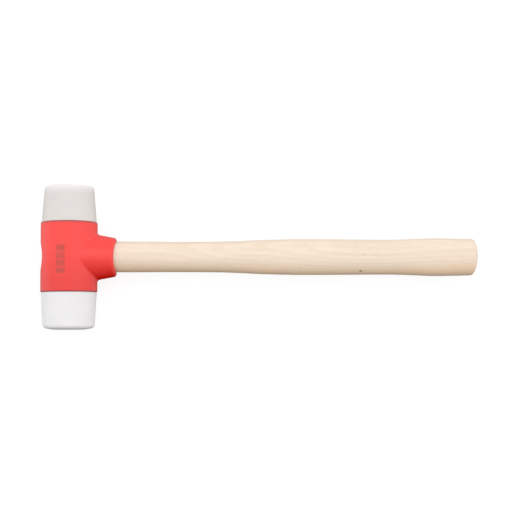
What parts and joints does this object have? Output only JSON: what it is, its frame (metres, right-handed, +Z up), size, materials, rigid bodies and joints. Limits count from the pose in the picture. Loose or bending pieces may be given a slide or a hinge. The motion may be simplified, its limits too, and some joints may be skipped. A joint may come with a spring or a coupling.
{
  "type": "soft-face mallet",
  "caption": "Soft-face mallet: a painted metal head with a push-in hard face and a push-in rubber face, on a wedged oval wooden handle.",
  "frame": {"origin": "on the floor under the middle of the mallet's box, with the mallet lying on its side", "axes": "+Z up, +X along the handle from the head towards the grip, Y along the head's axis with the hard face towards +Y"},
  "size_m": [0.3132, 0.1018, 0.04],
  "materials": {
    "red_paint": "semi-gloss",
    "hard_nylon": "satin",
    "white_rubber": "matt",
    "core_nylon": "satin",
    "handle_wood": "oiled",
    "wedge_wood": "raw",
    "wedge_steel": "as stamped"
  },
  "bodies": {
    "hafted_head": {"head_housing": "red_paint", "handle": "handle_wood", "wood_wedge": "wedge_wood", "upper_steel_wedge": "wedge_steel", "lower_steel_wedge": "wedge_steel"},
    "hard_insert": {"upper_face": "hard_nylon"},
    "soft_insert": {"lower_face": "white_rubber", "lower_face_core": "core_nylon"}
  },
  "joints": [
    {"name": "hard_insert_pull", "type": "slide", "parent": "hafted_head", "child": "hard_insert", "axis": [0, 1, 0], "range_m": [0, 0.012]},
    {"name": "soft_insert_pull", "type": "slide", "parent": "hafted_head", "child": "soft_insert", "axis": [0, -1, 0], "range_m": [0, 0.012]}
  ]
}
